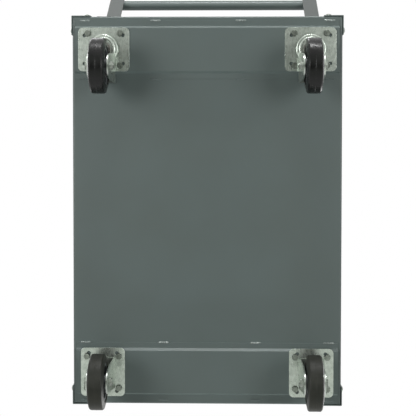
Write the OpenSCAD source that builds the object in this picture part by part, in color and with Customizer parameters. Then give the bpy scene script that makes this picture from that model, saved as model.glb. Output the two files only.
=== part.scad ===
// Service cart: three lipped steel shelves bolted between four angle posts, with a push
// handle, on two swivel and two rigid plate casters. X is the width, Y the length with
// the handle at -Y, Z is up, and the wheels stand on Z = 0.

/* [Shelves] */
// Width of each shelf over its side lips
shelf_w = 640; // [520:5:760]
// Length of each shelf over its end lips
shelf_l = 925; // [760:5:1200]
// Thickness of the shelf sheet
shelf_t = 1.5; // [1.2:0.1:2]
// Height of the lips that stand up round each shelf
lip_h = 38; // [34:1:60]
// Depth of the hem folded down inside the top of each lip
hem_h = 8; // [5:1:10]
// Outer radius of the bend between deck and lip
shelf_bend_r = 4; // [2.5:0.5:5]
// Height from one shelf to the next
shelf_pitch = 258; // [200:1:400]

/* [Posts] */
// Width of each leg of the angle posts
post_leg = 46; // [42:1:60]
// Thickness of the post angle
post_t = 2.5; // [2:0.1:4]
// Outer corner radius of the post angle
post_r = 2; // [1:0.5:2]

/* [Shelf bolts] */
// Distance of each shelf bolt from the shelf's corner
bolt_inset = 32; // [29:1:34]
// Shank diameter of the shelf bolts
bolt_d = 8; // [6:0.5:8]
// Diameter of the round bolt heads
bolt_head_d = 20; // [16:0.5:21]
// Height of the round bolt heads
bolt_head_h = 4.8; // [3:0.1:6]
// Width across flats of the nuts
nut_af = 13; // [11:0.5:14]
// Height of the nuts
nut_h = 6.5; // [5:0.5:8]
// Length of thread that stands out of a nut
thread_out = 2; // [1:0.5:4]
// Clearance round a bolt in its hole, on the diameter
bolt_play = 0.6; // [0.2:0.1:1]

/* [Handle] */
// Width of the flat handle arms
arm_w = 43; // [38:1:46]
// Thickness of the handle arms
arm_t = 4; // [3:0.5:6]
// Angle by which the arms lean out from the vertical
arm_lean = 31; // [10:0.5:40]
// Inner radius of the bend in each arm
arm_bend_r = 8; // [5:1:15]
// How far below the top shelf's deck the arms reach down the posts
arm_drop = 52; // [40:1:80]
// Distance of the lower arm bolt from the arm's lower end
arm_bolt_up = 20; // [14:1:24]
// Height of the handle tube's centre above the floor
handle_z = 954; // [860:1:1040]
// Outer diameter of the handle tube
handle_d = 30; // [25:1:34]
// Wall of the handle tube
handle_wall = 2; // [1.5:0.5:3]
// How far the arms run on past the tube's centre
arm_past = 11; // [8:1:22]
// How far the tube's ends stay back from the arms' outer edges
tube_back = 7; // [3:1:12]
// How far the tube's end plugs reach into it
plug_l = 14; // [6:1:30]
// Thickness of the plugs' caps
plug_cap_t = 2; // [1:0.5:4]
// Radius of the weld beads along the tube
handle_weld_r = 3; // [2:0.5:4]
// Distance of the weld beads' centres from the line where tube and arm touch
handle_weld_off = 8; // [7:0.5:10]
// Length of the weld beads
handle_weld_l = 32; // [20:1:36]
// Height of the arms' bend above the top shelf's lip
arm_bend_up = 4; // [2:1:20]

/* [Caster channels] */
// Distance of each channel's edge from the end of the shelf
channel_inset = 10; // [8:1:30]
// Distance of the channel ends from the shelf's sides
channel_side = 8; // [6:1:20]
// Width of the channel's flat pad
pad_w = 102; // [98:1:118]
// Width of each welded flange
flange_w = 13; // [10:1:20]
// Sideways run of each sloping web
web_run = 5; // [3:0.5:8]
// Height of the channel
channel_h = 10; // [9.5:0.5:12]
// Thickness of the channel sheet
channel_t = 2; // [1.5:0.5:2]
// Length of each stitch weld
stitch_l = 27; // [15:1:40]
// Leg size of the stitch welds
stitch_leg = 2; // [1.5:0.5:3]
// Places of the inner stitch welds on the handle end channel
stitch_mid_handle = [-122, 80]; // [-200:1:200]
// Places of the inner stitch welds on the far end channel
stitch_mid_far = [-104, 116]; // [-200:1:200]
// Distance of the outer stitch welds' centres from the channel's ends
stitch_end = 22; // [15:1:60]

/* [Casters] */
// Distance of the swivel casters' centres from the middle of the cart
swivel_x = 244; // [160:1:246]
// Distance of the rigid casters' centres from the middle of the cart
rigid_x = 248; // [160:1:252]
// Height from the floor to the top of the caster plates
caster_h = 159; // [154:1:180]
// Size of the swivel plates along the cart's width
swivel_plate_x = 121; // [114:1:121]
// Size of the swivel plates along the cart's length
swivel_plate_y = 103; // [98:1:110]
// Size of the rigid plates along the cart's width
rigid_plate_x = 105; // [98:1:110]
// Size of the rigid plates along the cart's length
rigid_plate_y = 116; // [110:1:120]
// Thickness of the caster plates
plate_t = 3; // [2.5:0.5:4]
// Corner radius of the caster plates
plate_r = 11; // [6:1:14]
// Spacing of the four caster bolts, the same both ways
caster_bolt_span = 76; // [72:1:78]
// Length of each plate slot between its end centres
slot_l = 9; // [5:1:10]
// Angle of each slot from the plate's longer side
slot_angle = 32; // [20:1:40]
// Thickness of the washers under the caster bolt heads
washer_t = 1.5; // [1:0.5:2.5]
// Outer diameter of those washers
washer_d = 15; // [14:0.5:17]
// Height of the caster bolts' hexagon heads
hex_head_h = 5.3; // [4:0.1:6]

/* [Swivel bearing] */
// Swivel lead, from the kingpin's axis to the wheel's axle
swivel_lead = 44; // [34:1:48]
// Diameter of the round fork crown
crown_d = 70; // [64:1:74]
// Thickness of the fork sheet
fork_t = 3.5; // [3:0.5:4]
// Depth of the bearing boss under the swivel plate
boss_h = 7; // [6.5:0.1:8]
// Diameter of that boss
boss_d = 66; // [62:1:72]
// Running gap between boss and crown
race_gap = 1.5; // [1:0.1:2]
// Diameter of the upper bearing balls
ball_d = 6.35; // [5:0.05:7]
// Radius of the upper ball circle
ball_ring_r = 26; // [24:0.5:28]
// Number of upper balls
ball_count = 20; // [12:1:22]
// Diameter of the lower bearing balls
low_ball_d = 4.8; // [4:0.1:5]
// Radius of the lower ball circle
low_ring_r = 13; // [12:0.5:15]
// Number of lower balls
low_ball_count = 14; // [8:1:15]
// Thickness of the lower race
low_race_t = 5; // [4.5:0.5:6]
// Diameter of the lower race
low_race_d = 36; // [34:1:40]
// Diameter of the kingpin
kingpin_d = 12; // [10:0.5:13]
// Diameter of the kingpin's head
kingpin_head_d = 22; // [18:1:24]
// Thickness of the kingpin's head
kingpin_head_t = 3; // [2:0.5:4]
// Width across flats of the kingpin nut
kingpin_nut_af = 18; // [17:1:20]
// Height of the kingpin nut
kingpin_nut_h = 8; // [6:0.5:9]

/* [Forks] */
// Width of each fork leg where it leaves the crown
leg_base_w = 70; // [60:1:80]
// Radius of the leg's lower end round the axle
leg_end_r = 27; // [18:1:29]
// How much further out each leg stands at the crown than at the axle
leg_flare = 5; // [2:0.5:6]
// Height above the axle from which the legs spread to that
leg_flare_up = 29; // [27:1:40]
// Outer radius of the bend between crown and leg
fork_bend_r = 7; // [5:0.5:9]
// Length of each leg's straight sides below that bend
leg_straight = 2; // [1:0.5:12]
// Diameter of the rigid fork's round foot on its plate
rigid_foot_d = 76; // [70:1:84]

/* [Wheels] */
// Wheel diameter
wheel_d = 127; // [110:1:127]
// Width of the tyre at its sides
tyre_w = 38; // [34:1:40]
// Width of the flat tread
tread_w = 30; // [26:1:32]
// Radius at which the tyre's shoulders reach the full width
shoulder_r = 48; // [46.5:0.5:52]
// Size of the bevels at the edges of the tread and at the rim
tread_edge = 2; // [1:0.5:3]
// Outer radius of the wheel core
core_r = 44; // [40:0.5:45]
// Radial thickness of the core's rim
rim_t = 7; // [5:0.5:9]
// Width of the core's rim
rim_w = 33; // [30:1:33]
// Thickness of the core's web
web_t = 9; // [6:0.5:14]
// Outer radius of the hub
hub_r = 17; // [15:0.5:20]
// Length of the hub
hub_l = 41; // [41:1:48]
// Number of ribs on each side of the web
rib_count = 6; // [4:1:8]
// Thickness of those ribs
rib_t = 4; // [3:0.5:6]
// How far the ribs stay back from the rim's faces
rib_back = 3; // [1:0.5:8]
// Outer diameter of the wheel bushing
bushing_d = 22; // [20:0.5:24]
// Outer diameter of the spacer tube that the bushing runs on
spacer_d = 15; // [13:0.5:17]
// Running clearance of bushing on spacer tube and of crown on kingpin, on the radius
run_play = 0.05; // [0.03:0.01:0.09]
// Gap between the hub and each fork leg
hub_gap = 0.5; // [0.4:0.1:1]
// Axle bolt diameter
axle_d = 10; // [8:0.5:11]
// Width across flats of the axle bolt's head and nut
axle_af = 17; // [14:0.5:18]
// Height of the axle bolt's head
axle_head_h = 6.5; // [5:0.5:8]
// Height of the axle nut
axle_nut_h = 9; // [6:0.5:11]

/* [Tag plate] */
// Length of the bare tag plate on the bottom shelf's handle end
tag_l = 42; // [30:1:60]
// Height of the tag plate
tag_h = 22; // [16:1:26]
// Thickness of the tag plate
tag_t = 1.2; // [0.8:0.1:2]
// Place of the tag plate's middle along the width
tag_x = -242; // [-242:1:200]

/* [Hidden] */

$fn = 64;

// How far a cutter runs past the face that it cuts
cut = 1;

paint = "#5a6463";
zinc = "#b9beb8";
rubber = "#2c2c2a";
cast = "#4c4f50";
plastic = "#26282a";

// Plan and height of the frame
half_w = shelf_w / 2;
half_l = shelf_l / 2;
deck_z = caster_h + channel_h;
function shelf_z(level) = deck_z + level * shelf_pitch;
function bolt_z(level) = shelf_z(level) + lip_h / 2;
top_level = 2;
post_top = shelf_z(top_level) + lip_h;

// Path of the handle arms in the plane of Y and Z
arm_foot_z = shelf_z(top_level) - arm_drop;
arm_bolt_z = arm_foot_z + arm_bolt_up;
arm_mid_x = half_w + post_t - arm_w / 2;
arm_bend_z = post_top + arm_bend_up;
arm_face_y = -(half_l + post_t + arm_t);
arm_bend_y = arm_face_y - arm_bend_r;
tube_off = arm_bend_r + arm_t + handle_d / 2;
arm_rise = (handle_z - arm_bend_z - tube_off * sin(arm_lean)) / cos(arm_lean);
tube_y = arm_bend_y + tube_off * cos(arm_lean) - arm_rise * sin(arm_lean);
arm_run = arm_rise + arm_past;
arm_bend_steps = 8;
tube_l = 2 * (half_w + post_t - tube_back);

// The origin is at the middle of the whole cart's plan
reach_handle = -(arm_bend_y + arm_bend_r * cos(arm_lean) - arm_run * sin(arm_lean));
reach_far = half_l + post_t + bolt_head_h;
cart_shift = (reach_handle - reach_far) / 2;

// Channels and casters
channel_w = 2 * (flange_w + web_run) + pad_w;
channel_l = shelf_w - 2 * channel_side;
channel_mid = channel_inset + channel_w / 2;
caster_y = half_l - channel_mid;
plate_z = caster_h - plate_t;
bolt_hole_d = bolt_d + bolt_play;
caster_thread_out = 0.5;
caster_bolt_end = caster_h + channel_t + nut_h + caster_thread_out;
tag_rivet_d = 3.2;
tag_rivet_head_d = 6;
tag_rivet_head_h = 1.2;

// Swivel bearing, from the plate down
crown_top = plate_z - boss_h - race_gap;
crown_low = crown_top - fork_t;
ball_z = crown_top + race_gap / 2;
low_race_top = crown_low - race_gap;
low_ball_z = crown_low - race_gap / 2;
kingpin_nut_top = low_race_top - low_race_t;
kingpin_end = kingpin_nut_top - kingpin_nut_h - thread_out;
race_bulge_r = 3.2;
crown_land = 0.5;

// Fork, hub and axle
axle_z = wheel_d / 2;
leg_in = hub_l / 2 + hub_gap;
leg_out = leg_in + fork_t;
leg_wide = leg_out + leg_flare;
axle_play = 0.3;
axle_hole_d = axle_d + axle_play;
bushing_bore_d = spacer_d + 2 * run_play;
rigid_top = plate_z;

LEFT = -1;
RIGHT = 1;

// Puts a piece drawn about the middle of the shelves at its place in the cart's frame
module cart(colour) {
    color(colour) translate([0, cart_shift, 0]) children();
}

module hexagon(across_flats, height) {
    cylinder(d = across_flats / cos(30), h = height, $fn = 6);
}

module hex_nut(across_flats, height, bore) {
    difference() {
        hexagon(across_flats, height);
        translate([0, 0, -cut]) cylinder(d = bore, h = height + 2 * cut);
    }
}

// Stands children at the shelf bolts, +Z outwards and Z = 0 on the outside of the lip.
// $outside is what lies between the lip and the bolt head. Where an arm is fastened, the
// bolt stands on the arm's middle line.
module at_shelf_bolts(level, sides = [LEFT, RIGHT], ends = [-1, 1]) {
    for (side = sides, end = ends) {
        $inside = shelf_t;
        holds_arm = level == top_level && end < 0;
        end_bolt_x = holds_arm ? arm_mid_x : half_w - bolt_inset;
        translate([side * end_bolt_x, end * half_l, bolt_z(level)])
            rotate([-90 * end, 0, 0]) {
                $outside = post_t + (holds_arm ? arm_t : 0);
                children();
            }
        translate([side * half_w, end * (half_l - bolt_inset), bolt_z(level)])
            rotate([0, 90 * side, 0]) {
                $outside = post_t;
                children();
            }
    }
}

// Stands children at the lower bolts of the handle arms, below the top shelf
module at_arm_bolts(sides = [LEFT, RIGHT]) {
    for (side = sides) {
        $inside = 0;
        $outside = post_t + arm_t;
        translate([side * arm_mid_x, -half_l, arm_bolt_z]) rotate([90, 0, 0]) children();
    }
}

module through_hole() {
    translate([0, 0, -shelf_t - cut])
        cylinder(d = bolt_hole_d, h = shelf_t + post_t + arm_t + 2 * cut);
}

module round_head_bolt() {
    ball_r = (pow(bolt_head_h, 2) + pow(bolt_head_d / 2, 2)) / (2 * bolt_head_h);
    inside_l = $inside + nut_h + thread_out;
    translate([0, 0, $outside]) rotate_extrude() intersection() {
        translate([0, bolt_head_h - ball_r]) circle(r = ball_r, $fn = 128);
        square([bolt_head_d / 2, bolt_head_h]);
    }
    translate([0, 0, -inside_l]) cylinder(d = bolt_d, h = inside_l + $outside);
}

module bolt_nut() {
    translate([0, 0, -$inside - nut_h]) hex_nut(nut_af, nut_h, bolt_d);
}

// What lies outside a quarter circle, in the corner towards +X and +Y
module corner_outside(radius) {
    difference() {
        square(radius + cut);
        circle(r = radius);
    }
}

// Outside of a shelf seen from one side, with its bends below and its rolled lips above
module shelf_outside(size) {
    difference() {
        translate([-size / 2, 0]) square([size, lip_h]);
        for (way = [-1, 1]) {
            translate([way * (size / 2 - shelf_bend_r), shelf_bend_r])
                scale([way, -1]) corner_outside(shelf_bend_r);
            translate([way * (size / 2 - shelf_t), lip_h - shelf_t])
                scale([way, 1]) corner_outside(shelf_t);
        }
    }
}

// The room inside it: as wide as the lips leave, and narrower between the folded hems
module shelf_inside(size) {
    in_r = shelf_bend_r - shelf_t;
    difference() {
        translate([shelf_t - size / 2, shelf_t])
            square([size - 2 * shelf_t, lip_h - hem_h - shelf_t]);
        for (way = [-1, 1]) translate([way * (size / 2 - shelf_bend_r), shelf_bend_r])
            scale([way, -1]) corner_outside(in_r);
    }
    translate([2 * shelf_t - size / 2, shelf_bend_r])
        square([size - 4 * shelf_t, lip_h + cut - shelf_bend_r]);
    for (way = [-1, 1]) translate([way * (size / 2 - shelf_t), lip_h - shelf_t])
        scale([-way, 1]) corner_outside(shelf_t);
}

// Meets the shelf's section across with its section along, which mitres the corners
module across_shelf() {
    rotate([90, 0, 0]) linear_extrude(2 * shelf_l, center = true) children();
}

module along_shelf() {
    rotate([90, 0, 90]) linear_extrude(2 * shelf_w, center = true) children();
}

module shelf(level) {
    cart(paint) difference() {
        translate([0, 0, shelf_z(level)]) difference() {
            intersection() {
                across_shelf() shelf_outside(shelf_w);
                along_shelf() shelf_outside(shelf_l);
            }
            intersection() {
                across_shelf() shelf_inside(shelf_w);
                along_shelf() shelf_inside(shelf_l);
            }
        }
        at_shelf_bolts(level) through_hole();
        if (level == 0) at_tag_rivets() tag_hole();
    }
}

module bottom_shelf() { shelf(0); }
module middle_shelf() { shelf(1); }
module top_shelf() { shelf(2); }

// Angle post round one corner of the shelves
module post(side, end) {
    out_x = half_w + post_t;
    out_y = half_l + post_t;
    cart(paint) difference() {
        translate([0, 0, deck_z]) scale([side, end, 1]) linear_extrude(post_top - deck_z)
            difference() {
                translate([out_x - post_leg, out_y - post_leg]) square(post_leg);
                translate([half_w - post_leg, half_l - post_leg]) square(post_leg);
                translate([out_x - post_r, out_y - post_r]) difference() {
                    square(post_r + cut);
                    circle(r = post_r);
                }
            }
        for (level = [0 : top_level]) at_shelf_bolts(level, [side], [end]) through_hole();
        if (end < 0) at_arm_bolts([side]) through_hole();
    }
}

module post_handle_left() { post(LEFT, -1); }
module post_handle_right() { post(RIGHT, -1); }
module post_far_left() { post(LEFT, 1); }
module post_far_right() { post(RIGHT, 1); }

// One side of an arm, seen along X, as points from the foot round the bend to the tip
function arm_side(radius) = concat(
    [[radius, arm_foot_z - arm_bend_z]],
    [for (step = [0 : arm_bend_steps])
        let (turn = arm_lean * step / arm_bend_steps) radius * [cos(turn), sin(turn)]],
    [radius * [cos(arm_lean), sin(arm_lean)] + arm_run * [-sin(arm_lean), cos(arm_lean)]]
);

// Flat bar, bent once above the top shelf
module arm_section() {
    front = arm_side(arm_bend_r);
    back = arm_side(arm_bend_r + arm_t);
    translate([arm_bend_y, arm_bend_z])
        polygon(concat(back, [for (i = [len(front) - 1 : -1 : 0]) front[i]]));
}

module handle_arm(side) {
    cart(paint) difference() {
        translate([side * arm_mid_x - arm_w / 2, 0, 0]) rotate([90, 0, 90])
            linear_extrude(arm_w) arm_section();
        at_shelf_bolts(top_level, [side], [-1]) through_hole();
        at_arm_bolts([side]) through_hole();
    }
}

module handle_arm_left() { handle_arm(LEFT); }
module handle_arm_right() { handle_arm(RIGHT); }

module handle_tube() {
    cart(paint) translate([0, tube_y, handle_z]) rotate([0, 90, 0]) difference() {
        cylinder(d = handle_d, h = tube_l, center = true);
        cylinder(d = handle_d - 2 * handle_wall, h = tube_l + 2 * cut, center = true);
    }
}

// Plastic plugs that close the tube's ends
module handle_plugs() {
    cart(plastic) for (side = [LEFT, RIGHT])
        translate([side * tube_l / 2, tube_y, handle_z]) rotate([0, 90 * side, 0]) {
            translate([0, 0, -plug_l]) cylinder(d = handle_d - 2 * handle_wall, h = plug_l);
            cylinder(d = handle_d, h = plug_cap_t);
        }
}

// Fillet welds on both sides of the line where the tube touches each arm
module handle_welds() {
    cart(paint) for (side = [LEFT, RIGHT])
        translate([side * (arm_mid_x - tube_back / 2) - handle_weld_l / 2, 0, 0])
            rotate([90, 0, 90]) linear_extrude(handle_weld_l)
                translate([arm_bend_y, arm_bend_z]) rotate(arm_lean)
                    translate([arm_bend_r + arm_t, arm_rise]) difference() {
                        intersection() {
                            for (way = [-1, 1]) translate([0, way * handle_weld_off])
                                circle(r = handle_weld_r);
                            translate([0, -handle_d]) square([handle_d, 2 * handle_d]);
                        }
                        translate([handle_d / 2, 0]) circle(d = handle_d);
                    }
}

module shelf_bolts() {
    cart(zinc) {
        for (level = [0 : top_level]) at_shelf_bolts(level) round_head_bolt();
        at_arm_bolts() round_head_bolt();
    }
}

module shelf_nuts() {
    cart(zinc) {
        for (level = [0 : top_level]) at_shelf_bolts(level) bolt_nut();
        at_arm_bolts() bolt_nut();
    }
}

// Stands children at the tag plate's rivets, +Z outwards and Z = 0 on the lip
module at_tag_rivets() {
    for (way = [-1, 1])
        translate([tag_x + way * (tag_l / 2 - tag_rivet_head_d), -half_l, bolt_z(0)])
            rotate([90, 0, 0]) children();
}

module tag_hole() {
    translate([0, 0, -shelf_t - cut]) cylinder(d = tag_rivet_d, h = shelf_t + tag_t + 2 * cut);
}

// Bare plate riveted to the bottom shelf's lip
module tag_plate() {
    cart(paint) difference() {
        translate([tag_x - tag_l / 2, -half_l - tag_t, bolt_z(0) - tag_h / 2])
            cube([tag_l, tag_t, tag_h]);
        at_tag_rivets() tag_hole();
    }
}

module tag_rivets() {
    cart(paint) at_tag_rivets() {
        translate([0, 0, -shelf_t]) cylinder(d = tag_rivet_d, h = shelf_t + tag_t);
        for (z = [tag_t, -shelf_t - tag_rivet_head_h])
            translate([0, 0, z]) cylinder(d = tag_rivet_head_d, h = tag_rivet_head_h);
    }
}

// Half of the hat section, from the flange's edge to the middle; Y is down from the deck
module channel_half() {
    fall = channel_h - channel_t;
    slant = channel_t * (norm([web_run, fall]) - web_run) / fall;
    middle = channel_w / 2;
    polygon([
        [0, 0], [flange_w + slant, 0], [flange_w + slant + web_run, fall],
        [middle, fall], [middle, channel_h], [flange_w + web_run, channel_h],
        [flange_w, channel_t], [0, channel_t]
    ]);
}

// Stands children at the middle of each caster, with +Z up from the floor
module at_caster(side, end) {
    translate([side * (end < 0 ? swivel_x : rigid_x), end * caster_y, 0]) children();
}

module at_caster_bolts() {
    for (x = [-1, 1], y = [-1, 1])
        translate([x * caster_bolt_span / 2, y * caster_bolt_span / 2, 0]) children();
}

module channel(end) {
    cart(paint) difference() {
        translate([-channel_l / 2, end * (half_l - channel_inset), deck_z])
            scale([1, -end, -1]) rotate([90, 0, 90]) linear_extrude(channel_l) {
                channel_half();
                translate([channel_w, 0]) mirror([1, 0]) channel_half();
            }
        for (side = [LEFT, RIGHT]) at_caster(side, end) at_caster_bolts()
            translate([0, 0, caster_h - cut]) cylinder(d = bolt_hole_d, h = channel_t + 2 * cut);
    }
}

module channel_handle_end() { channel(-1); }
module channel_far_end() { channel(1); }

// Short fillet welds along both edges of each channel
module stitch_row(end, inner_places) {
    end_x = channel_l / 2 - stitch_end;
    for (x = concat([-end_x, end_x], inner_places), edge = [-1, 1])
        translate([x - stitch_l / 2, end * caster_y + edge * channel_w / 2, deck_z])
            rotate([90, 0, 90]) linear_extrude(stitch_l)
                polygon([[0, 0], [edge * stitch_leg, 0], [0, -stitch_leg]]);
}

module stitch_welds() {
    cart(paint) {
        stitch_row(-1, stitch_mid_handle);
        stitch_row(1, stitch_mid_far);
    }
}

module at_all_casters() {
    for (side = [LEFT, RIGHT], end = [-1, 1]) at_caster(side, end) children();
}

module caster_bolts() {
    head_z = plate_z - washer_t;
    cart(zinc) at_all_casters() at_caster_bolts() {
        translate([0, 0, head_z - hex_head_h]) hexagon(nut_af, hex_head_h);
        translate([0, 0, head_z]) cylinder(d = bolt_d, h = caster_bolt_end - head_z);
    }
}

module caster_washers() {
    cart(zinc) at_all_casters() at_caster_bolts() translate([0, 0, plate_z - washer_t])
        difference() {
            cylinder(d = washer_d, h = washer_t);
            translate([0, 0, -cut]) cylinder(d = bolt_hole_d, h = washer_t + 2 * cut);
        }
}

module caster_weld_nuts() {
    cart(zinc) at_all_casters() at_caster_bolts() translate([0, 0, caster_h + channel_t])
        hex_nut(nut_af, nut_h, bolt_d);
}

// Slot from the bolt's place outwards, with its outer end towards the plate's long side
module plate_slot(long_x) {
    run = slot_l * cos(slot_angle);
    drop = slot_l * sin(slot_angle);
    to = long_x ? [run, -drop] : [-drop, run];
    turn = atan2(to[1], to[0]);
    depth = plate_t + 2 * cut;
    cylinder(d = bolt_hole_d, h = depth);
    rotate(turn) translate([0, -bolt_hole_d / 2, 0]) cube([slot_l, bolt_hole_d, depth]);
    translate(to) cylinder(d = bolt_hole_d, h = depth);
}

module caster_plate(size_x, size_y) {
    reach = caster_bolt_span / 2;
    translate([0, 0, plate_z]) difference() {
        union() {
            cube_x = size_x - 2 * plate_r;
            cube_y = size_y - 2 * plate_r;
            translate([-size_x / 2, -cube_y / 2, 0]) cube([size_x, cube_y, plate_t]);
            translate([-cube_x / 2, -size_y / 2, 0]) cube([cube_x, size_y, plate_t]);
            for (x = [-1, 1], y = [-1, 1])
                translate([x * cube_x / 2, y * cube_y / 2, 0]) cylinder(r = plate_r, h = plate_t);
        }
        for (x = [-1, 1], y = [-1, 1]) scale([x, y, 1]) translate([reach, reach, -cut])
            plate_slot(size_x > size_y);
    }
}

module ball_groove(ring_r, diameter, z) {
    rotate_extrude() translate([ring_r, z]) circle(r = diameter / 2 + run_play);
}

module swivel_plate(side) {
    cart(zinc) at_caster(side, -1) difference() {
        union() {
            caster_plate(swivel_plate_x, swivel_plate_y);
            translate([0, 0, plate_z - boss_h]) cylinder(d = boss_d, h = boss_h);
        }
        translate([0, 0, plate_z - boss_h - cut])
            cylinder(d = kingpin_d, h = boss_h + plate_t + 2 * cut);
        translate([0, 0, caster_h - kingpin_head_t])
            cylinder(d = kingpin_head_d, h = kingpin_head_t + cut);
        ball_groove(ball_ring_r, ball_d, ball_z);
    }
}

module kingpin(side) {
    cart(zinc) at_caster(side, -1) {
        translate([0, 0, caster_h - kingpin_head_t]) cylinder(d = kingpin_head_d, h = kingpin_head_t);
        translate([0, 0, kingpin_end]) cylinder(d = kingpin_d, h = caster_h - kingpin_end);
    }
}

module kingpin_nuts() {
    cart(zinc) for (side = [LEFT, RIGHT]) at_caster(side, -1)
        translate([0, 0, kingpin_nut_top - kingpin_nut_h])
            hex_nut(kingpin_nut_af, kingpin_nut_h, kingpin_d);
}

module lower_race(side) {
    cart(zinc) at_caster(side, -1) difference() {
        translate([0, 0, kingpin_nut_top]) cylinder(d = low_race_d, h = low_race_t);
        translate([0, 0, kingpin_nut_top - cut])
            cylinder(d = kingpin_d, h = low_race_t + 2 * cut);
        ball_groove(low_ring_r, low_ball_d, low_ball_z);
    }
}

module ball_circle(ring_r, diameter, count, z) {
    for (turn = [0 : count - 1]) rotate(turn * 360 / count)
        translate([ring_r, 0, z]) sphere(d = diameter, $fn = 32);
}

module upper_balls(side) {
    cart(zinc) at_caster(side, -1) ball_circle(ball_ring_r, ball_d, ball_count, ball_z);
}

module lower_balls(side) {
    cart(zinc) at_caster(side, -1) ball_circle(low_ring_r, low_ball_d, low_ball_count, low_ball_z);
}

// Pressed U of the fork: top sheet, two bends and two spreading legs, seen along the cart
module fork_section(top) {
    r = fork_bend_r;
    low = axle_z - leg_end_r - cut;
    flare_z = axle_z + leg_flare_up;
    translate([r - leg_wide, top - fork_t]) square([2 * (leg_wide - r), fork_t]);
    for (way = [-1, 1]) scale([way, 1]) {
        translate([leg_wide - r, top - r]) intersection() {
            difference() {
                circle(r = r);
                circle(r = r - fork_t);
            }
            square(r);
        }
        polygon([
            [leg_in, low], [leg_in, flare_z], [leg_wide - fork_t, top - r], [leg_wide, top - r],
            [leg_out, flare_z], [leg_out, low]
        ]);
    }
}

// Side outline of the legs: straight below the crown, then tapering to the round end
module leg_outline(top) {
    half = leg_base_w / 2;
    shoulder = top - fork_bend_r - leg_straight;
    height = shoulder - axle_z;
    reach = norm([half, height]);
    // Angle, from the vertical, of the radius to the point where the taper meets the round end
    lift = atan2(half, height) + acos(leg_end_r / reach);
    foot = [leg_end_r * sin(lift), leg_end_r * cos(lift)];
    polygon([
        [-half, top + cut], [half, top + cut], [half, shoulder], [foot[0], axle_z + foot[1]],
        [0, axle_z], [-foot[0], axle_z + foot[1]], [-half, shoulder]
    ]);
    translate([0, axle_z]) circle(r = leg_end_r);
}

module fork_legs(top) {
    intersection() {
        translate([0, leg_base_w, 0]) rotate([90, 0, 0])
            linear_extrude(2 * leg_base_w) fork_section(top);
        translate([-leg_wide - cut, 0, 0]) rotate([90, 0, 90])
            linear_extrude(2 * (leg_wide + cut)) leg_outline(top);
    }
}

module axle_bore() {
    translate([0, 0, axle_z]) rotate([0, 90, 0])
        cylinder(d = axle_hole_d, h = 2 * (leg_out + cut), center = true);
}

// Round top of the swivel fork, with a rolled edge and the bulge of the ball race
module fork_crown() {
    edge = fork_t - crown_land;
    rotate_extrude() {
        translate([0, crown_low]) square([crown_d / 2 - edge, fork_t]);
        translate([0, crown_low + edge]) square([crown_d / 2, fork_t - edge]);
        intersection() {
            translate([crown_d / 2 - edge, crown_low + edge]) circle(r = edge);
            translate([crown_d / 2 - edge, crown_low]) square(edge);
        }
        intersection() {
            translate([ball_ring_r, crown_low]) circle(r = race_bulge_r);
            translate([0, crown_low - race_bulge_r]) square([crown_d / 2, race_bulge_r]);
        }
    }
}

module swivel_fork(side) {
    cart(zinc) at_caster(side, -1) difference() {
        union() {
            fork_crown();
            translate([0, swivel_lead, 0]) fork_legs(crown_top);
        }
        translate([0, 0, crown_low - cut])
            cylinder(d = kingpin_d + 2 * run_play, h = fork_t + 2 * cut);
        ball_groove(ball_ring_r, ball_d, ball_z);
        ball_groove(low_ring_r, low_ball_d, low_ball_z);
        translate([0, swivel_lead, 0]) axle_bore();
    }
}

module swivel_plate_left() { swivel_plate(LEFT); }
module swivel_plate_right() { swivel_plate(RIGHT); }
module kingpin_left() { kingpin(LEFT); }
module kingpin_right() { kingpin(RIGHT); }
module lower_race_left() { lower_race(LEFT); }
module lower_race_right() { lower_race(RIGHT); }
module upper_balls_left() { upper_balls(LEFT); }
module upper_balls_right() { upper_balls(RIGHT); }
module lower_balls_left() { lower_balls(LEFT); }
module lower_balls_right() { lower_balls(RIGHT); }
module swivel_fork_left() { swivel_fork(LEFT); }
module swivel_fork_right() { swivel_fork(RIGHT); }

module rigid_plate(side) {
    cart(zinc) at_caster(side, 1) caster_plate(rigid_plate_x, rigid_plate_y);
}

module rigid_fork(side) {
    cart(zinc) at_caster(side, 1) difference() {
        union() {
            translate([0, 0, rigid_top - fork_t]) cylinder(d = rigid_foot_d, h = fork_t);
            fork_legs(rigid_top);
        }
        axle_bore();
    }
}

module rigid_plate_left() { rigid_plate(LEFT); }
module rigid_plate_right() { rigid_plate(RIGHT); }
module rigid_fork_left() { rigid_fork(LEFT); }
module rigid_fork_right() { rigid_fork(RIGHT); }

// Stands children at a wheel's centre, with +Z along the axle and outwards from the cart
module at_wheel(side, end) {
    lead = end < 0 ? swivel_lead : 0;
    at_caster(side, end) translate([0, lead, axle_z]) rotate([0, 90 * side, 0]) children();
}

module axle_bolt(side, end) {
    shank = 2 * leg_out + axle_nut_h + thread_out;
    at_wheel(side, end) {
        translate([0, 0, leg_out]) hexagon(axle_af, axle_head_h);
        translate([0, 0, leg_out - shank]) cylinder(d = axle_d, h = shank);
    }
}

module axle_nut(side, end) {
    at_wheel(side, end) translate([0, 0, -leg_out - axle_nut_h])
        hex_nut(axle_af, axle_nut_h, axle_d);
}

module spacer(side, end) {
    at_wheel(side, end) difference() {
        cylinder(d = spacer_d, h = 2 * leg_in, center = true);
        cylinder(d = axle_hole_d, h = 2 * (leg_in + cut), center = true);
    }
}

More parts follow.
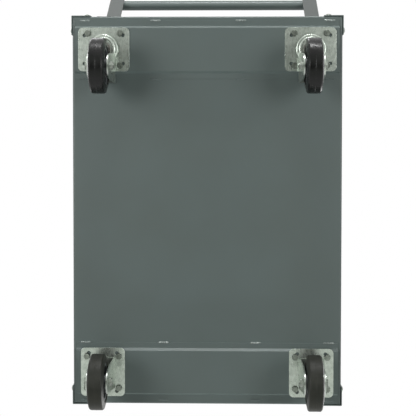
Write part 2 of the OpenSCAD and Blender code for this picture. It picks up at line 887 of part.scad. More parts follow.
module swivel_axle_left() { cart(zinc) axle_bolt(LEFT, -1); }
module swivel_axle_right() { cart(zinc) axle_bolt(RIGHT, -1); }
module rigid_axles() { cart(zinc) for (side = [LEFT, RIGHT]) axle_bolt(side, 1); }
module swivel_axle_nut_left() { cart(zinc) axle_nut(LEFT, -1); }
module swivel_axle_nut_right() { cart(zinc) axle_nut(RIGHT, -1); }
module rigid_axle_nuts() { cart(zinc) for (side = [LEFT, RIGHT]) axle_nut(side, 1); }
module swivel_spacer_left() { cart(zinc) spacer(LEFT, -1); }
module swivel_spacer_right() { cart(zinc) spacer(RIGHT, -1); }
module rigid_spacers() { cart(zinc) for (side = [LEFT, RIGHT]) spacer(side, 1); }

// Core of a wheel: hub, ribbed web and rim
module wheel_core(side, end) {
    rim_in = core_r - rim_t;
    cart(cast) at_wheel(side, end) difference() {
        union() {
            cylinder(r = hub_r, h = hub_l, center = true);
            difference() {
                cylinder(r = core_r, h = rim_w, center = true);
                for (way = [-1, 1]) translate([0, 0, way * (web_t + rim_w) / 2])
                    cylinder(r = rim_in, h = rim_w, center = true);
            }
            for (turn = [0 : rib_count - 1]) rotate(turn * 360 / rib_count)
                translate([hub_r - cut, -rib_t / 2, rib_back - rim_w / 2])
                    cube([rim_in - hub_r + 2 * cut, rib_t, rim_w - 2 * rib_back]);
        }
        cylinder(d = bushing_d, h = hub_l + 2 * cut, center = true);
    }
}

module tyre(side, end) {
    tyre_r = wheel_d / 2;
    outline = [
        [core_r, rim_w / 2], [core_r + tread_edge, tyre_w / 2], [shoulder_r, tyre_w / 2],
        [tyre_r - tread_edge, tread_w / 2 + tread_edge / 3], [tyre_r, tread_w / 2 - tread_edge]
    ];
    cart(rubber) at_wheel(side, end) rotate_extrude($fn = 128) polygon(concat(
        outline, [for (i = [len(outline) - 1 : -1 : 0]) [outline[i][0], -outline[i][1]]]
    ));
}

module bushing(side, end) {
    cart(cast) at_wheel(side, end) difference() {
        cylinder(d = bushing_d, h = hub_l, center = true);
        cylinder(d = bushing_bore_d, h = hub_l + 2 * cut, center = true);
    }
}

module wheel_core_handle_left() { wheel_core(LEFT, -1); }
module wheel_core_handle_right() { wheel_core(RIGHT, -1); }
module wheel_core_far_left() { wheel_core(LEFT, 1); }
module wheel_core_far_right() { wheel_core(RIGHT, 1); }
module tyre_handle_left() { tyre(LEFT, -1); }
module tyre_handle_right() { tyre(RIGHT, -1); }
module tyre_far_left() { tyre(LEFT, 1); }
module tyre_far_right() { tyre(RIGHT, 1); }
module bushing_handle_left() { bushing(LEFT, -1); }
module bushing_handle_right() { bushing(RIGHT, -1); }
module bushing_far_left() { bushing(LEFT, 1); }
module bushing_far_right() { bushing(RIGHT, 1); }

bottom_shelf();
middle_shelf();
top_shelf();
post_handle_left();
post_handle_right();
post_far_left();
post_far_right();
channel_handle_end();
channel_far_end();
stitch_welds();
handle_arm_left();
handle_arm_right();
handle_tube();
handle_plugs();
handle_welds();
shelf_bolts();
shelf_nuts();
tag_plate();
tag_rivets();
caster_bolts();
caster_washers();
caster_weld_nuts();
swivel_plate_left();
kingpin_left();
kingpin_nuts();
lower_race_left();
upper_balls_left();
lower_balls_left();
swivel_fork_left();
swivel_plate_right();
kingpin_right();
lower_race_right();
upper_balls_right();
lower_balls_right();
swivel_fork_right();
rigid_plate_left();
rigid_fork_left();
rigid_plate_right();
rigid_fork_right();
swivel_axle_left();
swivel_axle_right();
rigid_axles();
swivel_axle_nut_left();
swivel_axle_nut_right();
rigid_axle_nuts();
swivel_spacer_left();
swivel_spacer_right();
rigid_spacers();
wheel_core_handle_left();
wheel_core_handle_right();
wheel_core_far_left();
wheel_core_far_right();
tyre_handle_left();
tyre_handle_right();
tyre_far_left();
tyre_far_right();
bushing_handle_left();
bushing_handle_right();
bushing_far_left();
bushing_far_right();
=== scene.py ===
import math

import bmesh
import bpy
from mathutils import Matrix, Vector


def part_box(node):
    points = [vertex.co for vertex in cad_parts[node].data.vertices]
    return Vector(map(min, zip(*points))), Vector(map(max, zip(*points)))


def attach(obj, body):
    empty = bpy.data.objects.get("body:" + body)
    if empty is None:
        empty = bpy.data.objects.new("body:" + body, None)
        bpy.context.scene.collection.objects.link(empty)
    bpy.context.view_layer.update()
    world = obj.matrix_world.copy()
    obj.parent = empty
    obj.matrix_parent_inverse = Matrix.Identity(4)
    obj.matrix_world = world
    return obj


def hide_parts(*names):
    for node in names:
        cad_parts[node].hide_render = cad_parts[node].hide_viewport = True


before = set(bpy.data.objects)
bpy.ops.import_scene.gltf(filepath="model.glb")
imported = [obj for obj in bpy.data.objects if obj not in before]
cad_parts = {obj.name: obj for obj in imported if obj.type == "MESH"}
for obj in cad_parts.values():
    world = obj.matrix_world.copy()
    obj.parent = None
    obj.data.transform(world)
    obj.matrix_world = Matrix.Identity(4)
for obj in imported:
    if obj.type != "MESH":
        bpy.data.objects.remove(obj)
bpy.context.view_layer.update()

# Camera. The photograph looks straight up at the cart's underside from 2.2 m below the
# floor, with the handle at the top of the picture. Place, turn and lens were fitted to the
# corners of the bottom shelf, the caster plates, the wheels and the handle.
camera = bpy.data.objects.new("camera", bpy.data.cameras.new("camera"))
bpy.context.collection.objects.link(camera)
camera.location = (0.05782, -0.13595, -2.20602)
camera.rotation_euler = [math.radians(turn) for turn in (178.1669, -1.3418, -0.0367)]
camera.data.sensor_width = 36
camera.data.lens = 86.54
camera.data.shift_y = -0.12
camera.data.clip_end = 40
bpy.context.scene.camera = camera


# Studio. A plain pale floor, which is clear from below so that the camera and the lamps
# under it reach the cart's underside, a white backdrop, and large soft lamps above and
# below at a plain level.
def linear(code):
    """An sRGB hex colour as linear red, green, blue and alpha."""
    parts = [int(code[at:at + 2], 16) / 255 for at in (1, 3, 5)]
    return [p / 12.92 if p <= 0.04045 else ((p + 0.055) / 1.055) ** 2.4 for p in parts] + [1]


def put(tree, kind, sockets=None, **settings):
    """Adds a node with its settings, and gives its sockets values or links."""
    made = tree.nodes.new(kind)
    for name, value in settings.items():
        setattr(made, name, value)
    for name, value in (sockets or {}).items():
        if isinstance(value, bpy.types.NodeSocket):
            tree.links.new(value, made.inputs[name])
        else:
            made.inputs[name].default_value = value
    return made


def blank_material(name):
    """A new material with an empty tree."""
    material = bpy.data.materials.new(name)
    material.use_nodes = True
    material.node_tree.nodes.clear()
    return material, material.node_tree


SHARP = math.radians(35)


def show(name, shape, material):
    """Makes an object of a bmesh, whose rounded edges are smooth and flat faces stay flat."""
    mesh = bpy.data.meshes.new(name)
    shape.to_mesh(mesh)
    shape.free()
    for face in mesh.polygons:
        face.use_smooth = True
    mesh.set_sharp_from_angle(angle=SHARP)
    mesh.materials.append(material)
    piece = bpy.data.objects.new(name, mesh)
    bpy.context.collection.objects.link(piece)
    piece.modifiers.new("flat_faces", "WEIGHTED_NORMAL").keep_sharp = True
    return piece


def any_of(tree, *outputs):
    """One where any of the outputs is one, and otherwise zero."""
    total = outputs[0]
    for other in outputs[1:]:
        total = put(tree, "ShaderNodeMath", {0: total, 1: other}, operation="MAXIMUM").outputs[0]
    return total


FLOOR_HALF = 14
FLOOR_GLOW = 0.52
pale_floor, tree = blank_material("pale_floor")
ray = put(tree, "ShaderNodeLightPath").outputs
facing = put(tree, "ShaderNodeNewGeometry").outputs
clear = any_of(
    tree, facing["Backfacing"], ray["Is Shadow Ray"], ray["Is Diffuse Ray"], ray["Is Glossy Ray"]
)
paint = put(tree, "ShaderNodeBsdfDiffuse", {"Color": linear("#ECECEA")}).outputs[0]
glow = put(
    tree, "ShaderNodeEmission", {"Color": linear("#FFFFFF"), "Strength": FLOOR_GLOW}
).outputs[0]
pale = put(tree, "ShaderNodeAddShader", {0: paint, 1: glow}).outputs[0]
glass = put(tree, "ShaderNodeBsdfTransparent").outputs[0]
mixed = put(tree, "ShaderNodeMixShader", {"Fac": clear, 1: pale, 2: glass}).outputs[0]
put(tree, "ShaderNodeOutputMaterial", {"Surface": mixed})

shape = bmesh.new()
bmesh.ops.create_grid(shape, x_segments=1, y_segments=1, size=FLOOR_HALF)
floor = show("floor", shape, pale_floor)

FILL = 0.012
BACKDROP = 1.0
world = bpy.data.worlds.new("white_backdrop")
world.use_nodes = True
bpy.context.scene.world = world
tree = world.node_tree
tree.nodes.clear()
ray = put(tree, "ShaderNodeLightPath").outputs
seen = any_of(tree, ray["Is Camera Ray"], ray["Is Glossy Ray"], ray["Is Transmission Ray"])
fill = put(
    tree, "ShaderNodeBackground", {"Color": linear("#FFFFFF"), "Strength": FILL}
).outputs[0]
white = put(
    tree, "ShaderNodeBackground", {"Color": linear("#FFFFFF"), "Strength": BACKDROP}
).outputs[0]
mixed = put(tree, "ShaderNodeMixShader", {"Fac": seen, 1: fill, 2: white}).outputs[0]
put(tree, "ShaderNodeOutputWorld", {"Surface": mixed})

bpy.context.scene.view_settings.view_transform = "Standard"


def softbox(name, place, aim, width, height, power, mirrored=True):
    """An area lamp at place that points at aim, and that gloss mirrors or doesn't."""
    lamp = bpy.data.lights.new(name, "AREA")
    lamp.shape = "RECTANGLE"
    lamp.size = width
    lamp.size_y = height
    lamp.energy = power
    holder = bpy.data.objects.new(name, lamp)
    holder.location = place
    holder.rotation_euler = (Vector(aim) - Vector(place)).to_track_quat("-Z", "Y").to_euler()
    holder.visible_camera = False
    holder.visible_glossy = mirrored
    bpy.context.collection.objects.link(holder)


deck = (0, 0.06, 0.17)
softbox("below_left", (-2.45, -0.6, -2.8), deck, 1.5, 1.5, 70)
softbox("below_right", (2.45, -0.6, -2.8), deck, 1.5, 1.5, 55)
softbox("below_far", (0.0, 3.4, -0.07), deck, 1.2, 0.1, 70, mirrored=False)
softbox("below_handle", (0.0, -3.4, -0.07), deck, 0.6, 0.1, 92)
softbox("above_front", (-1.9, -2.1, 4.9), (0, 0, 0.4), 3.0, 3.0, 130)
softbox("above_back", (3.0, 2.6, 4.0), (0, 0, 0.4), 3.0, 3.0, 90)

# A round grey card round the lens, dark in its middle, which only gloss mirrors
CARD_R = 3.4
DARK_R = 0.56
PALE_R = 1.35
CARD_DARK = 0.03
CARD_PALE = 0.92
CARD_SIDES = 48
grey_card, tree = blank_material("grey_card")
where = put(tree, "ShaderNodeTexCoord").outputs["Object"]
reach = put(tree, "ShaderNodeVectorMath", {0: where}, operation="LENGTH").outputs["Value"]
ramp = put(
    tree, "ShaderNodeMapRange", {0: reach, 1: DARK_R, 2: PALE_R, 3: CARD_DARK, 4: CARD_PALE}
).outputs[0]
glow = put(tree, "ShaderNodeEmission", {"Color": linear("#F2F6F0"), "Strength": ramp}).outputs[0]
put(tree, "ShaderNodeOutputMaterial", {"Surface": glow})
shape = bmesh.new()
bmesh.ops.create_circle(shape, cap_ends=True, segments=CARD_SIDES, radius=CARD_R)
card = show("card", shape, grey_card)
card.location = (-0.04, -0.1, -3.0)
card.visible_camera = False
card.visible_diffuse = False
card.visible_shadow = False
card.visible_transmission = False

# Shelves. Three trays of 1.5 mm steel sheet, their edges folded up into lips and hemmed
# inwards, then degreased and powder coated. The coat is a satin grey with faint orange
# peel, and the wide decks are a little uneven, which stirs their reflections.
PEEL = 0.0016
PEEL_DEPTH = 0.0001
WAVE = 0.11
WAVE_DEPTH = 0.002
CLOUD = 0.16


def powder_coated(name, dark, light):
    """Satin powder coat between two colours."""
    made, tree = blank_material(name)
    where = put(tree, "ShaderNodeTexCoord").outputs["Object"]
    cloud = put(
        tree, "ShaderNodeTexNoise", {"Vector": where, "Scale": 1 / CLOUD, "Detail": 4.0}
    ).outputs[0]
    speck = put(
        tree, "ShaderNodeTexNoise", {"Vector": where, "Scale": 1 / PEEL, "Detail": 1.0}
    ).outputs[0]
    wave = put(
        tree, "ShaderNodeTexNoise", {"Vector": where, "Scale": 1 / WAVE, "Detail": 1.0}
    ).outputs[0]
    shade = put(tree, "ShaderNodeMapRange", {0: cloud, 1: 0.3, 2: 0.7}).outputs[0]
    colour = put(
        tree, "ShaderNodeMix", {0: shade, 6: linear(dark), 7: linear(light)}, data_type="RGBA"
    ).outputs[2]
    gloss = put(tree, "ShaderNodeMapRange", {0: speck, 1: 0.3, 2: 0.7, 3: 0.4, 4: 0.5}).outputs[0]
    uneven = put(
        tree, "ShaderNodeBump", {"Height": wave, "Strength": 0.12, "Distance": WAVE_DEPTH}
    ).outputs[0]
    peel = put(
        tree, "ShaderNodeBump",
        {"Height": speck, "Strength": 0.25, "Distance": PEEL_DEPTH, "Normal": uneven},
    ).outputs[0]
    coat = put(
        tree, "ShaderNodeBsdfPrincipled",
        {"Base Color": colour, "Roughness": gloss, "IOR": 1.5, "Normal": peel},
    ).outputs[0]
    put(tree, "ShaderNodeOutputMaterial", {"Surface": coat})
    return made


powder_coat = powder_coated("grey_powder_coat", "#57625F", "#5A6664")


def finish_node(name, material):
    """Gives a CAD node its finish."""
    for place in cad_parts[name].material_slots:
        place.material = material


for name in ("bottom_shelf", "middle_shelf", "top_shelf"):
    finish_node(name, powder_coat)


# Posts. Four steel angles, sheared to length and drilled, whose cut edges the same coat
# rounds off. They stand round the corners of the shelves and are bolted to each lip.
SAME_PLACE = 1e-6
SAME_FACE = math.radians(0.5)


def softened(name, width, segments):
    """A CAD node's mesh with its triangles merged and its sharp edges rounded."""
    shape = bmesh.new()
    shape.from_mesh(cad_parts[name].data)
    bmesh.ops.remove_doubles(shape, verts=shape.verts, dist=SAME_PLACE)
    bmesh.ops.dissolve_limit(shape, angle_limit=SAME_FACE, verts=shape.verts, edges=shape.edges)
    sharp = [edge for edge in shape.edges if edge.is_manifold and edge.calc_face_angle() > SHARP]
    bmesh.ops.bevel(
        shape, geom=sharp, offset=width, affect="EDGES", segments=segments, profile=0.5,
        material=-1, clamp_overlap=True,
    )
    return shape


def fit(piece, body, slot, *nodes):
    """Hangs a piece on its body, in place of the CAD nodes that it stands for."""
    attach(piece, body)
    if nodes:
        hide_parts(*nodes)


def soften(name, width, material, body, slot, segments=2):
    """Shows a CAD node with rounded edges."""
    fit(show(name + "_worn", softened(name, width, segments), material), body, slot, name)


POST_EDGE = 0.0006
for name in ("post_handle_left", "post_handle_right", "post_far_left", "post_far_right"):
    soften(name, POST_EDGE, powder_coat, "frame", "grey_paint")

# Caster channels. Two hat sections folded from 2 mm sheet, laid across the bottom shelf's
# underside, so their bends are round outside. They are stitch welded along both flanges
# and coated with the shelf.
CHANNEL_BEND = 0.0012
for name in ("channel_handle_end", "channel_far_end"):
    soften(name, CHANNEL_BEND, powder_coat, "frame", "grey_paint", segments=3)

# Stitch welds. Short arc-welded beads, rippled where each pool of metal froze on the one
# before, ground nowhere. The rows nearer the handle get a light metallic colour, a painted
# highlight, and the other rows take the shelf's coat.
STITCH_L = 0.027
STITCH_R = 0.0026
STITCH_END = 0.022
STITCH_SUNK = 0.0006
INNER_STITCHES = {"channel_handle_end": (-0.122, 0.08), "channel_far_end": (-0.104, 0.116)}
RIPPLE = 0.0022
RIPPLE_STEPS = 4
RIPPLE_DEPTH = 0.16
BEAD_TIP = 0.02
BEAD_TAPER = 8
BEAD_SIDES = 12
BEAD_SEAM = 1e-7
SPATTER = 0.003
SPATTER_DEPTH = 0.0006


def bead(shape, middle, length, radius):
    """Adds a rippled bead that lies along X."""
    steps = RIPPLE_STEPS * round(length / RIPPLE)
    line = []
    for step in range(steps + 1):
        along = step / steps
        rise = min(1, max(BEAD_TIP, min(along, 1 - along) * BEAD_TAPER))
        ripple = 1 - RIPPLE_DEPTH * abs(math.sin(math.pi * step / RIPPLE_STEPS))
        x = middle[0] + (along - 0.5) * length
        z = middle[2] + radius * math.sin(math.pi * rise / 2) * ripple
        line.append(shape.verts.new((x, middle[1], z)))
    edges = [shape.edges.new(pair) for pair in zip(line, line[1:])]
    bmesh.ops.spin(
        shape, geom=line + edges, cent=middle, axis=(1, 0, 0), dvec=(0, 0, 0),
        angle=2 * math.pi, steps=BEAD_SIDES, use_merge=True, use_duplicate=False,
    )


def close_beads(shape):
    """Merges the tips of the spun beads and turns their faces outwards."""
    bmesh.ops.remove_doubles(shape, verts=shape.verts, dist=BEAD_SEAM)
    bmesh.ops.recalc_face_normals(shape, faces=shape.faces)


# Light metallic spatter colour: a painted highlight on the handle-side rows of beads.
weld_highlight_material, tree = blank_material("weld_bead_painted_highlight")
where = put(tree, "ShaderNodeTexCoord").outputs["Object"]
spatter = put(
    tree, "ShaderNodeTexNoise", {"Vector": where, "Scale": 1 / SPATTER, "Detail": 3.0}
).outputs[0]
bright_spatter = put(tree, "ShaderNodeMapRange", {0: spatter, 1: 0.46, 2: 0.62}).outputs[0]
colour = put(
    tree, "ShaderNodeMix", {0: bright_spatter, 6: linear("#6A7471"), 7: linear("#A0A6A3")}, data_type="RGBA"
).outputs[2]
bump = put(
    tree, "ShaderNodeBump", {"Height": spatter, "Strength": 0.5, "Distance": SPATTER_DEPTH}
).outputs[0]
weld = put(
    tree, "ShaderNodeBsdfPrincipled",
    {"Base Color": colour, "Metallic": bright_spatter, "Roughness": 0.44, "Normal": bump},
).outputs[0]
put(tree, "ShaderNodeOutputMaterial", {"Surface": weld})

stitches = bmesh.new()
coated_rows = []
for name, inner in INNER_STITCHES.items():
    low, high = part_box(name)
    for x in (low[0] + STITCH_END, high[0] - STITCH_END, *inner):
        for y in (low[1], high[1]):
            bead(stitches, Vector((x, y, high[2] - STITCH_SUNK)), STITCH_L, STITCH_R)
    coated_rows.append(high[1])
close_beads(stitches)
# Beads on the far rows take the shelf's coat; the rest keep the painted highlight material.
for face in stitches.faces:
    away = min(abs(face.calc_center_median()[1] - row) for row in coated_rows)
    face.material_index = int(away < 2 * STITCH_R)
stitch_beads = show("stitch_beads", stitches, weld_highlight_material)
stitch_beads.data.materials.append(powder_coat)
fit(stitch_beads, "frame", "grey_paint", "stitch_welds")

# Handle. Two flat hot rolled bars with round edges, each bent once, and a tube welded to
# their inner faces by a bead along either side. The bars' coat is browner than on the sheets
# and the tube, and a shade darker, which is painted shade that tones down their light.
BAR_EDGE = 0.0009
# Browner tone, and darker by painted shade, for the bars.
bar_coat_painted_shade = powder_coated("brownish_coat_painted_shade", "#4A4F4D", "#4E5351")
for name in ("handle_arm_left", "handle_arm_right"):
    soften(name, BAR_EDGE, bar_coat_painted_shade, "frame", "grey_paint", segments=3)
finish_node("handle_tube", powder_coat)

LEAN = math.radians(31)
TUBE_R = 0.015
HANDLE_BEAD_L = 0.032
HANDLE_BEAD_R = 0.003
HANDLE_BEAD_OFF = 0.008
beads = bmesh.new()
low, high = (Vector(corner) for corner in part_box("handle_tube"))
tube_middle = (low + high) / 2
touch = tube_middle - TUBE_R * Vector((0, math.cos(LEAN), math.sin(LEAN)))
up_bar = Vector((0, -math.sin(LEAN), math.cos(LEAN)))
for name in ("handle_arm_left", "handle_arm_right"):
    bar_low, bar_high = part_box(name)
    x = (max(bar_low[0], low[0]) + min(bar_high[0], high[0])) / 2
    for way in (-1, 1):
        place = touch + way * HANDLE_BEAD_OFF * up_bar
        bead(beads, Vector((x, place[1], place[2])), HANDLE_BEAD_L, HANDLE_BEAD_R)
close_beads(beads)
fit(show("handle_beads", beads, powder_coat), "frame", "grey_paint", "handle_welds")

# Plugs. Black polyethylene, moulded and knocked into the tube's ends. The mould leaves
# them matte, with a fine grain.
PLUG_EDGE = 0.0012
PLUG_GRAIN = 0.001
PLUG_DEPTH = 0.0001
black_plastic, tree = blank_material("black_moulded_plastic")
where = put(tree, "ShaderNodeTexCoord").outputs["Object"]
grain = put(tree, "ShaderNodeTexNoise", {"Vector": where, "Scale": 1 / PLUG_GRAIN}).outputs[0]
bump = put(
    tree, "ShaderNodeBump", {"Height": grain, "Strength": 0.3, "Distance": PLUG_DEPTH}
).outputs[0]
plastic = put(
    tree, "ShaderNodeBsdfPrincipled",
    {"Base Color": linear("#26282A"), "Roughness": 0.5, "IOR": 1.51, "Normal": bump},
).outputs[0]
put(tree, "ShaderNodeOutputMaterial", {"Surface": plastic})
soften("handle_plugs", PLUG_EDGE, black_plastic, "frame", "plug_plastic", segments=3)

# Bolts and nuts of the frame. Cold-headed carbon steel with a thin zinc plate. The bath
# leaves faint clouds and ripples that stir the mirrored light, and tumbling fine streaks.
BATH_CLOUD = 0.009
BATH_DEPTH = 0.0004
STREAK = 0.0016
STREAK_SPACING = (1.0, 0.12, 1.0)
STREAK_DEPTH = 0.0002


def zinc_plated(name, dark, light, clear, dull):
    """Zinc plate between two colours and two roughnesses."""
    made, tree = blank_material(name)
    where = put(tree, "ShaderNodeTexCoord").outputs["Object"]
    cloud = put(
        tree, "ShaderNodeTexNoise", {"Vector": where, "Scale": 1 / BATH_CLOUD, "Detail": 3.0}
    ).outputs[0]
    along = put(tree, "ShaderNodeMapping", {"Vector": where, "Scale": STREAK_SPACING}).outputs[0]
    streak = put(
        tree, "ShaderNodeTexNoise", {"Vector": along, "Scale": 1 / STREAK, "Detail": 2.0}
    ).outputs[0]
    shade = put(tree, "ShaderNodeMapRange", {0: cloud, 1: 0.34, 2: 0.66}).outputs[0]
    colour = put(
        tree, "ShaderNodeMix", {0: shade, 6: linear(dark), 7: linear(light)}, data_type="RGBA"
    ).outputs[2]
    gloss = put(
        tree, "ShaderNodeMapRange", {0: streak, 1: 0.3, 2: 0.7, 3: clear, 4: dull}
    ).outputs[0]
    rippled = put(
        tree, "ShaderNodeBump", {"Height": cloud, "Strength": 0.15, "Distance": BATH_DEPTH}
    ).outputs[0]
    bump = put(
        tree, "ShaderNodeBump",
        {"Height": streak, "Strength": 0.06, "Distance": STREAK_DEPTH, "Normal": rippled},
    ).outputs[0]
    plate = put(
        tree, "ShaderNodeBsdfPrincipled",
        {"Base Color": colour, "Metallic": 1.0, "Roughness": gloss, "Normal": bump},
    ).outputs[0]
    put(tree, "ShaderNodeOutputMaterial", {"Surface": plate})
    return made


zinc_plate = zinc_plated("bright_zinc_plate", "#B1B9B1", "#C6CDC5", 0.25, 0.32)
dull_zinc = zinc_plated("dull_zinc_plate", "#747A73", "#8E948C", 0.24, 0.34)
for name in ("shelf_bolts", "shelf_nuts"):
    finish_node(name, dull_zinc)

# Tag plate. A bare strip of sheet riveted under the left arm on the bottom shelf's lip,
# anodised dark, with nothing written on it.
TAG_EDGE = 0.0003
TAG_GRAIN = 0.0009
dark_anodised, tree = blank_material("dark_anodised_aluminium")
where = put(tree, "ShaderNodeTexCoord").outputs["Object"]
grain = put(tree, "ShaderNodeTexNoise", {"Vector": where, "Scale": 1 / TAG_GRAIN}).outputs[0]
gloss = put(tree, "ShaderNodeMapRange", {0: grain, 1: 0.3, 2: 0.7, 3: 0.6, 4: 0.7}).outputs[0]
anodised = put(
    tree, "ShaderNodeBsdfPrincipled",
    {"Base Color": linear("#2B2D2C"), "Metallic": 1.0, "Roughness": gloss},
).outputs[0]
put(tree, "ShaderNodeOutputMaterial", {"Surface": anodised})
soften("tag_plate", TAG_EDGE, dark_anodised, "frame", "grey_paint")
finish_node("tag_rivets", zinc_plate)

# Caster plates. Pressed steel, slotted for two bolt patterns, with rims rolled over in the
# press, the swivel plates with the bearing's boss drawn down in the middle. Zinc plated.
PLATE_RIM = 0.0018
for name in ("swivel_plate_left", "swivel_plate_right", "rigid_plate_left", "rigid_plate_right"):
    soften(name, PLATE_RIM, zinc_plate, "frame", "zinc", segments=3)

# Caster bolts: hexagon bolts with washers, up through the plates into nuts welded on top
# of the channels, zinc plated. The washers get a dark zinc, painted shade round the heads.
CASTER_BOLT_EDGE = 0.0011
WASHER_EDGE = 0.0004
WELD_NUT_EDGE = 0.0005
# Dark zinc for the washers: painted shade that rings the caster bolts' heads.
washer_zinc_painted_shade = zinc_plated("dark_zinc_plate_painted_shade", "#363A36", "#50544F", 0.36, 0.5)
soften("caster_bolts", CASTER_BOLT_EDGE, dull_zinc, "frame", "zinc", segments=3)
soften("caster_washers", WASHER_EDGE, washer_zinc_painted_shade, "frame", "zinc")
soften("caster_weld_nuts", WELD_NUT_EDGE, dull_zinc, "frame", "zinc")

# Swivel bearings. A kingpin with a nut holds plate, fork and lower race together on two
# circles of balls. The races and balls are hardened steel in a film of grease.
RACE_EDGE = 0.0006
KINGPIN_NUT_EDGE = 0.0006
GREASE_FILM = 0.006
bearing_steel, tree = blank_material("greased_bearing_steel")
where = put(tree, "ShaderNodeTexCoord").outputs["Object"]
film = put(tree, "ShaderNodeTexNoise", {"Vector": where, "Scale": 1 / GREASE_FILM}).outputs[0]
gloss = put(tree, "ShaderNodeMapRange", {0: film, 1: 0.3, 2: 0.7, 3: 0.15, 4: 0.32}).outputs[0]
steel = put(
    tree, "ShaderNodeBsdfPrincipled",
    {"Base Color": linear("#9C9A94"), "Metallic": 1.0, "Roughness": gloss},
).outputs[0]
put(tree, "ShaderNodeOutputMaterial", {"Surface": steel})
for side in ("left", "right"):
    for name in ("upper_balls_", "lower_balls_"):
        finish_node(name + side, bearing_steel)
    soften("lower_race_" + side, RACE_EDGE, bearing_steel, "frame", "bearing_steel")
    finish_node("kingpin_" + side, zinc_plate)
soften("kingpin_nuts", KINGPIN_NUT_EDGE, zinc_plate, "frame", "zinc")

# Forks. Each is one pressing of 3.5 mm steel with two legs folded down from its top, the
# swivel forks with a round crown that carries the ball race. Zinc plated.
FORK_EDGE = 0.0009
for side in ("left", "right"):
    soften("swivel_fork_" + side, FORK_EDGE, zinc_plate, "swivel_" + side, "zinc")
    soften("rigid_fork_" + side, FORK_EDGE, zinc_plate, "frame", "zinc")

# Axles. A hexagon bolt through each fork, with a nut on the inner side, clamps a spacer
# tube on which the wheel's plastic bearing turns.
AXLE_EDGE = 0.0009
for side in ("left", "right"):
    for name in ("swivel_axle_", "swivel_axle_nut_", "swivel_spacer_"):
        soften(name + side, AXLE_EDGE, dull_zinc, "swivel_" + side, "zinc", segments=3)
for name in ("rigid_axles", "rigid_axle_nuts", "rigid_spacers"):
    soften(name, AXLE_EDGE, dull_zinc, "frame", "zinc", segments=3)

# Wheel cores. Grey iron castings, hub, web, ribs and rim in one, painted dark. The sand
# leaves them faintly rough and rounds every corner.
CORE_EDGE = 0.0012
SAND = 0.0014
SAND_DEPTH = 0.0004
cast_iron, tree = blank_material("painted_cast_iron")
where = put(tree, "ShaderNodeTexCoord").outputs["Object"]
sand = put(
    tree, "ShaderNodeTexNoise", {"Vector": where, "Scale": 1 / SAND, "Detail": 3.0}
).outputs[0]
shade = put(tree, "ShaderNodeMapRange", {0: sand, 1: 0.3, 2: 0.7}).outputs[0]
colour = put(
    tree, "ShaderNodeMix", {0: shade, 6: linear("#45484A"), 7: linear("#54585A")}, data_type="RGBA"
).outputs[2]
bump = put(
    tree, "ShaderNodeBump", {"Height": sand, "Strength": 0.5, "Distance": SAND_DEPTH}
).outputs[0]
iron = put(
    tree, "ShaderNodeBsdfPrincipled",
    {"Base Color": colour, "Roughness": 0.5, "IOR": 1.5, "Normal": bump},
).outputs[0]
put(tree, "ShaderNodeOutputMaterial", {"Surface": iron})
for end in ("handle", "far"):
    for side in ("left", "right"):
        wheel = f"{end}_{side}"
        soften(f"wheel_core_{wheel}", CORE_EDGE, cast_iron, f"wheel_{wheel}", "wheel_core")

# Bushings. Turned from natural nylon and pressed into the hubs, where they run on the
# spacer tubes. Off-white, and a little waxy where the tool and the tube have rubbed it.
WAXY = 0.004
natural_nylon, tree = blank_material("natural_nylon")
where = put(tree, "ShaderNodeTexCoord").outputs["Object"]
film = put(tree, "ShaderNodeTexNoise", {"Vector": where, "Scale": 1 / WAXY}).outputs[0]
gloss = put(tree, "ShaderNodeMapRange", {0: film, 1: 0.3, 2: 0.7, 3: 0.4, 4: 0.52}).outputs[0]
nylon = put(
    tree, "ShaderNodeBsdfPrincipled",
    {"Base Color": linear("#D8D2C2"), "Roughness": gloss, "IOR": 1.53},
).outputs[0]
put(tree, "ShaderNodeOutputMaterial", {"Surface": nylon})
for end in ("handle", "far"):
    for side in ("left", "right"):
        finish_node(f"bushing_{end}_{side}", natural_nylon)

# Tyres. Black rubber moulded on the core, with a flat tread, sloping shoulders and the
# mould's parting line round the middle of the tread. Rubber scatters light softly, and a
# little dust lies in it.
DUST = 0.02
MOULD_GRAIN = 0.0012
MOULD_DEPTH = 0.0002


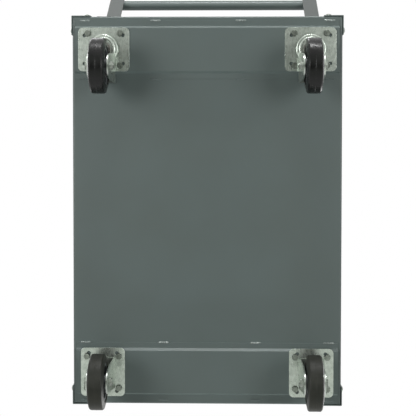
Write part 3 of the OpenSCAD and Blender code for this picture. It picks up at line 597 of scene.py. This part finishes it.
def moulded_rubber(name, clean, dusty, smooth, dull):
    """Black rubber between two colours and two roughnesses."""
    made, tree = blank_material(name)
    where = put(tree, "ShaderNodeTexCoord").outputs["Object"]
    dust = put(
        tree, "ShaderNodeTexNoise", {"Vector": where, "Scale": 1 / DUST, "Detail": 5.0}
    ).outputs[0]
    grain = put(
        tree, "ShaderNodeTexNoise", {"Vector": where, "Scale": 1 / MOULD_GRAIN, "Detail": 2.0}
    ).outputs[0]
    shade = put(tree, "ShaderNodeMapRange", {0: dust, 1: 0.35, 2: 0.7}).outputs[0]
    colour = put(
        tree, "ShaderNodeMix", {0: shade, 6: linear(clean), 7: linear(dusty)}, data_type="RGBA"
    ).outputs[2]
    gloss = put(
        tree, "ShaderNodeMapRange", {0: dust, 1: 0.3, 2: 0.7, 3: smooth, 4: dull}
    ).outputs[0]
    bump = put(
        tree, "ShaderNodeBump", {"Height": grain, "Strength": 0.3, "Distance": MOULD_DEPTH}
    ).outputs[0]
    rubber = put(
        tree, "ShaderNodeBsdfPrincipled",
        {
            "Base Color": colour, "Roughness": gloss, "IOR": 1.52,
            "Specular IOR Level": 0.25, "Normal": bump,
        },
    ).outputs[0]
    put(tree, "ShaderNodeOutputMaterial", {"Surface": rubber})
    return made


# The far tyres get a lighter and rougher rubber than the tyres at the handle end.
tyre_rubber = {
    "handle": moulded_rubber("black_moulded_rubber", "#0A0B0A", "#101110", 0.2, 0.32),
    "far": moulded_rubber("black_rubber_lighter_rougher", "#1B1D17", "#252620", 0.45, 0.58),
}

# Half of the tyre's section, as radius and distance from the wheel's middle
TYRE_HALF = (
    (0.044, 0.0165), (0.046, 0.019), (0.0485, 0.019), (0.0612, 0.0158), (0.0632, 0.0127),
    (0.0632, 0.0007), (0.0635, 0.0003),
)
TYRE_ROUND = 0.0009
TYRE_STEPS = 96


def spun(shape, section, centre, rounding, steps):
    """Adds a closed section, as radius and X, spun round the X axis through centre."""
    line = [shape.verts.new(centre + Vector((x, 0, radius))) for radius, x in section]
    shape.faces.new(line)
    bmesh.ops.bevel(
        shape, geom=line, offset=rounding, affect="VERTICES", segments=3, profile=0.5,
        material=-1, clamp_overlap=True,
    )
    face = max(shape.faces, key=lambda side: len(side.verts))
    ring = list(face.verts) + list(face.edges)
    bmesh.ops.delete(shape, geom=[face], context="FACES_ONLY")
    bmesh.ops.spin(
        shape, geom=ring, cent=centre, axis=(1, 0, 0), dvec=(0, 0, 0), angle=2 * math.pi,
        steps=steps, use_merge=True, use_duplicate=False,
    )
    bmesh.ops.recalc_face_normals(shape, faces=shape.faces)


section = TYRE_HALF + tuple((radius, -x) for radius, x in reversed(TYRE_HALF))
for end in ("handle", "far"):
    for side in ("left", "right"):
        wheel = f"{end}_{side}"
        low, high = (Vector(corner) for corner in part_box(f"tyre_{wheel}"))
        shape = bmesh.new()
        spun(shape, section, (low + high) / 2, TYRE_ROUND, TYRE_STEPS)
        tyre = show(f"tread_{wheel}", shape, tyre_rubber[end])
        fit(tyre, f"wheel_{wheel}", "rubber", f"tyre_{wheel}")
